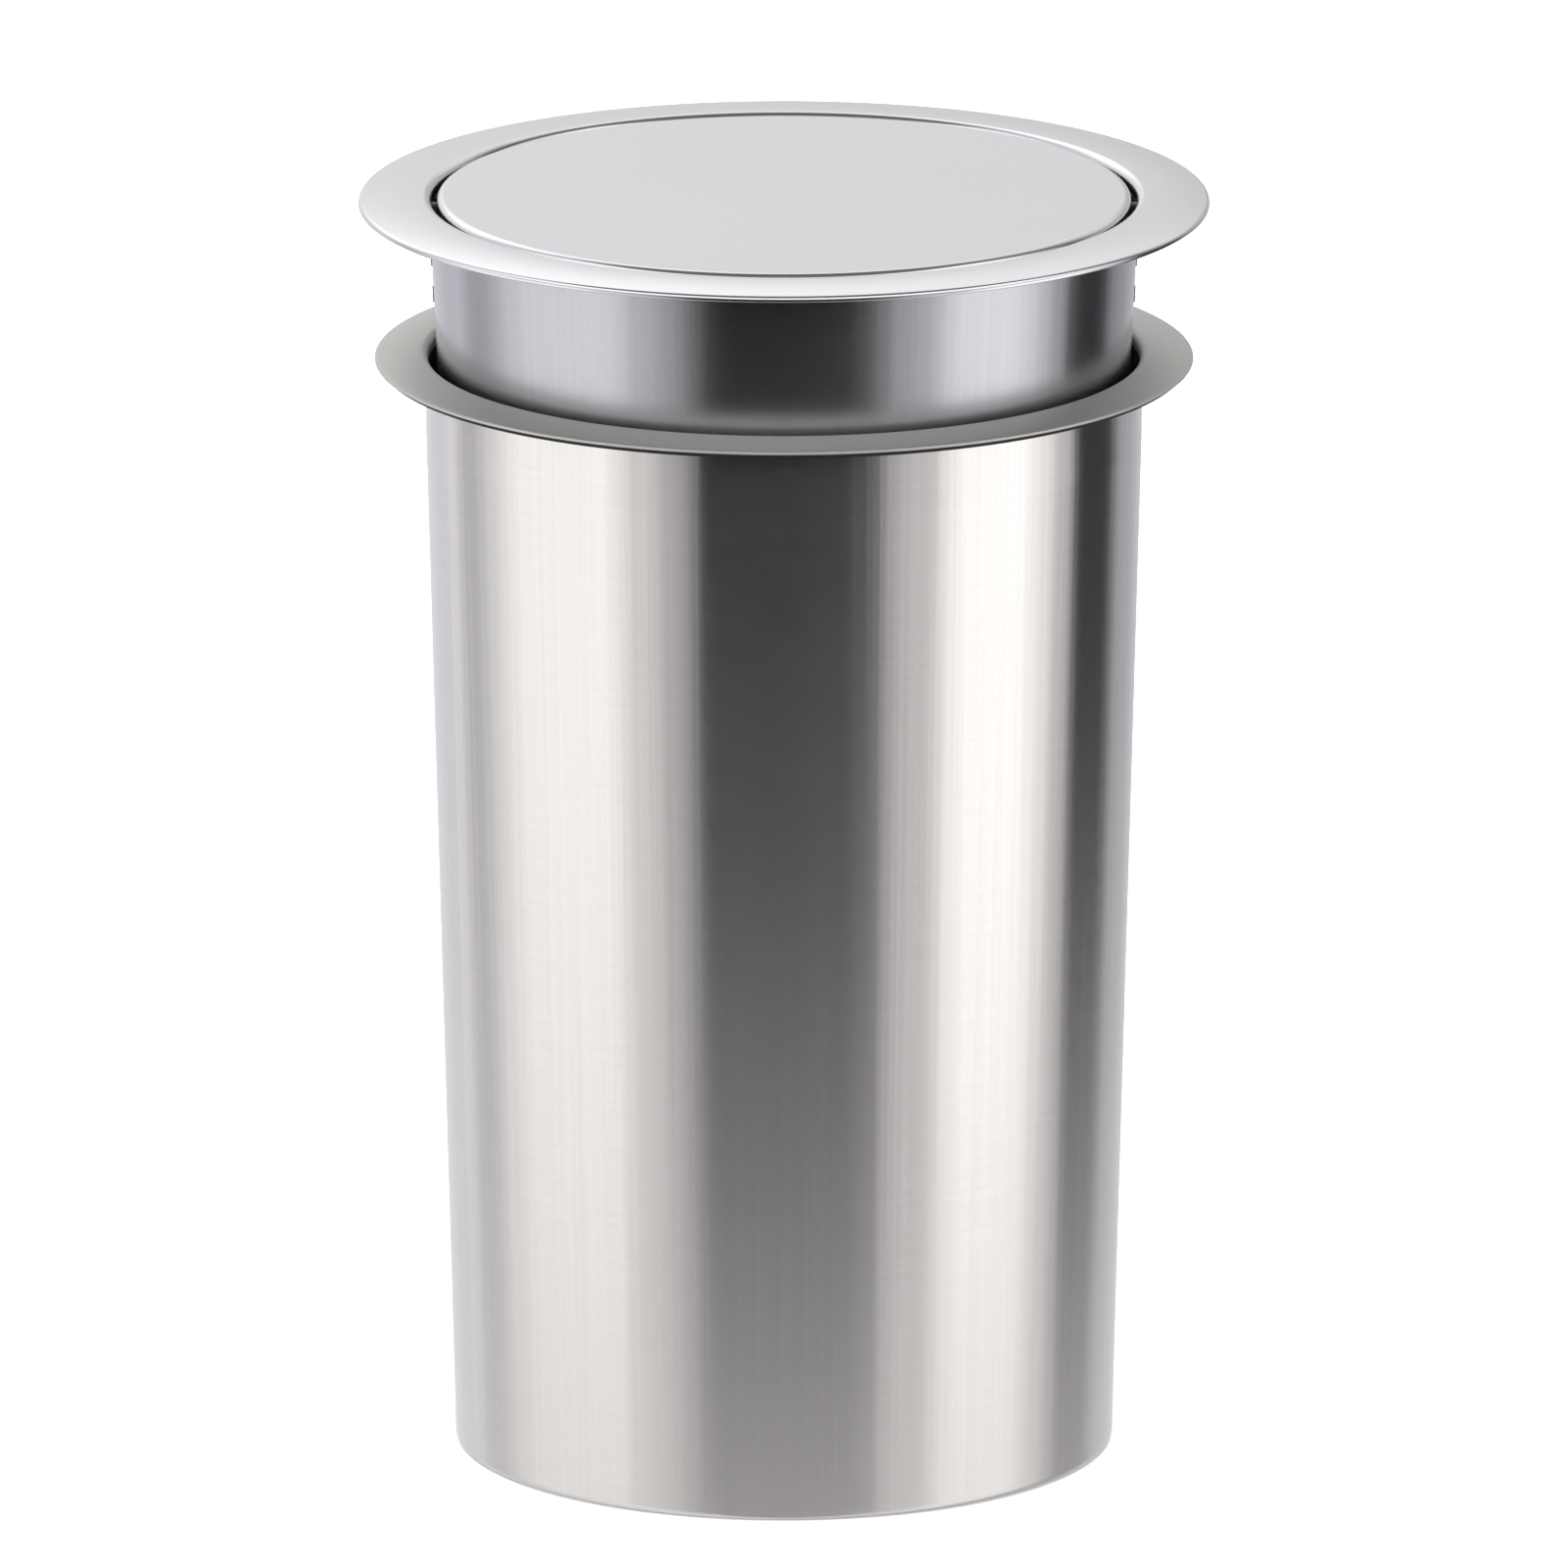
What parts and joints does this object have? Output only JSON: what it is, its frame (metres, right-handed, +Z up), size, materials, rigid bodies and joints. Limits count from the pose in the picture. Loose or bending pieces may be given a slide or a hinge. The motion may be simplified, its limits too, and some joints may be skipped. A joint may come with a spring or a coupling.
{
  "type": "countertop waste bin",
  "caption": "Tapered stainless drum with a rim for a worktop cut-out and a lift-off cover ring whose round counterweighted flap swings on two side pivots.",
  "frame": {"origin": "centre of the drum's foot, on the plane that it stands on", "axes": "+Z up the drum, out of its mouth; -Y is the front; the flap's pivots lie along X"},
  "size_m": [0.24, 0.24, 0.3622],
  "materials": {
    "brushed_stainless": "brushed around the axis, satin",
    "turned_stainless": "fine turned",
    "zinc_plated_steel": "bright zinc plate, slightly blue",
    "black_oxide_bar": "hot-rolled bar, black oxide",
    "black_rubber": "matt extruded rubber",
    "black_polypropylene": "moulded, fine grain",
    "natural_nylon": "moulded, slightly waxy"
  },
  "bodies": {
    "drum": {"drum_wall": "brushed_stainless", "base_pan": "brushed_stainless", "rim_flange": "brushed_stainless", "rim_gasket": "black_rubber"},
    "lid": {"cover_ring": "brushed_stainless", "collar": "brushed_stainless", "lid_gasket": "black_rubber", "pivot_block_left": "zinc_plated_steel", "pivot_block_right": "zinc_plated_steel", "block_rivets": "zinc_plated_steel", "pivot_pin_left": "turned_stainless", "pivot_pin_right": "turned_stainless", "pin_washer_left": "turned_stainless", "pin_washer_right": "turned_stainless", "pin_clip_left": "zinc_plated_steel", "pin_clip_right": "zinc_plated_steel"},
    "flap": {"flap_skin": "brushed_stainless", "flap_liner": "black_polypropylene", "hinge_ear_left": "zinc_plated_steel", "hinge_ear_right": "zinc_plated_steel", "ear_rivets": "zinc_plated_steel", "pivot_bush_left": "natural_nylon", "pivot_bush_right": "natural_nylon", "weight_hanger": "zinc_plated_steel", "hanger_rivets": "zinc_plated_steel", "counterweight": "black_oxide_bar", "weight_screws": "zinc_plated_steel", "weight_washers": "zinc_plated_steel", "weight_nuts": "zinc_plated_steel"}
  },
  "joints": [
    {"name": "lid_lift", "type": "slide", "parent": "drum", "child": "lid", "axis": [0, 0, 1], "range_m": [-0.0418, 0.08]},
    {"name": "flap_swing", "type": "hinge", "parent": "lid", "child": "flap", "pos_m": [0, 0, 0.3542], "axis": [1, 0, 0], "range_deg": [-70, 70]}
  ]
}
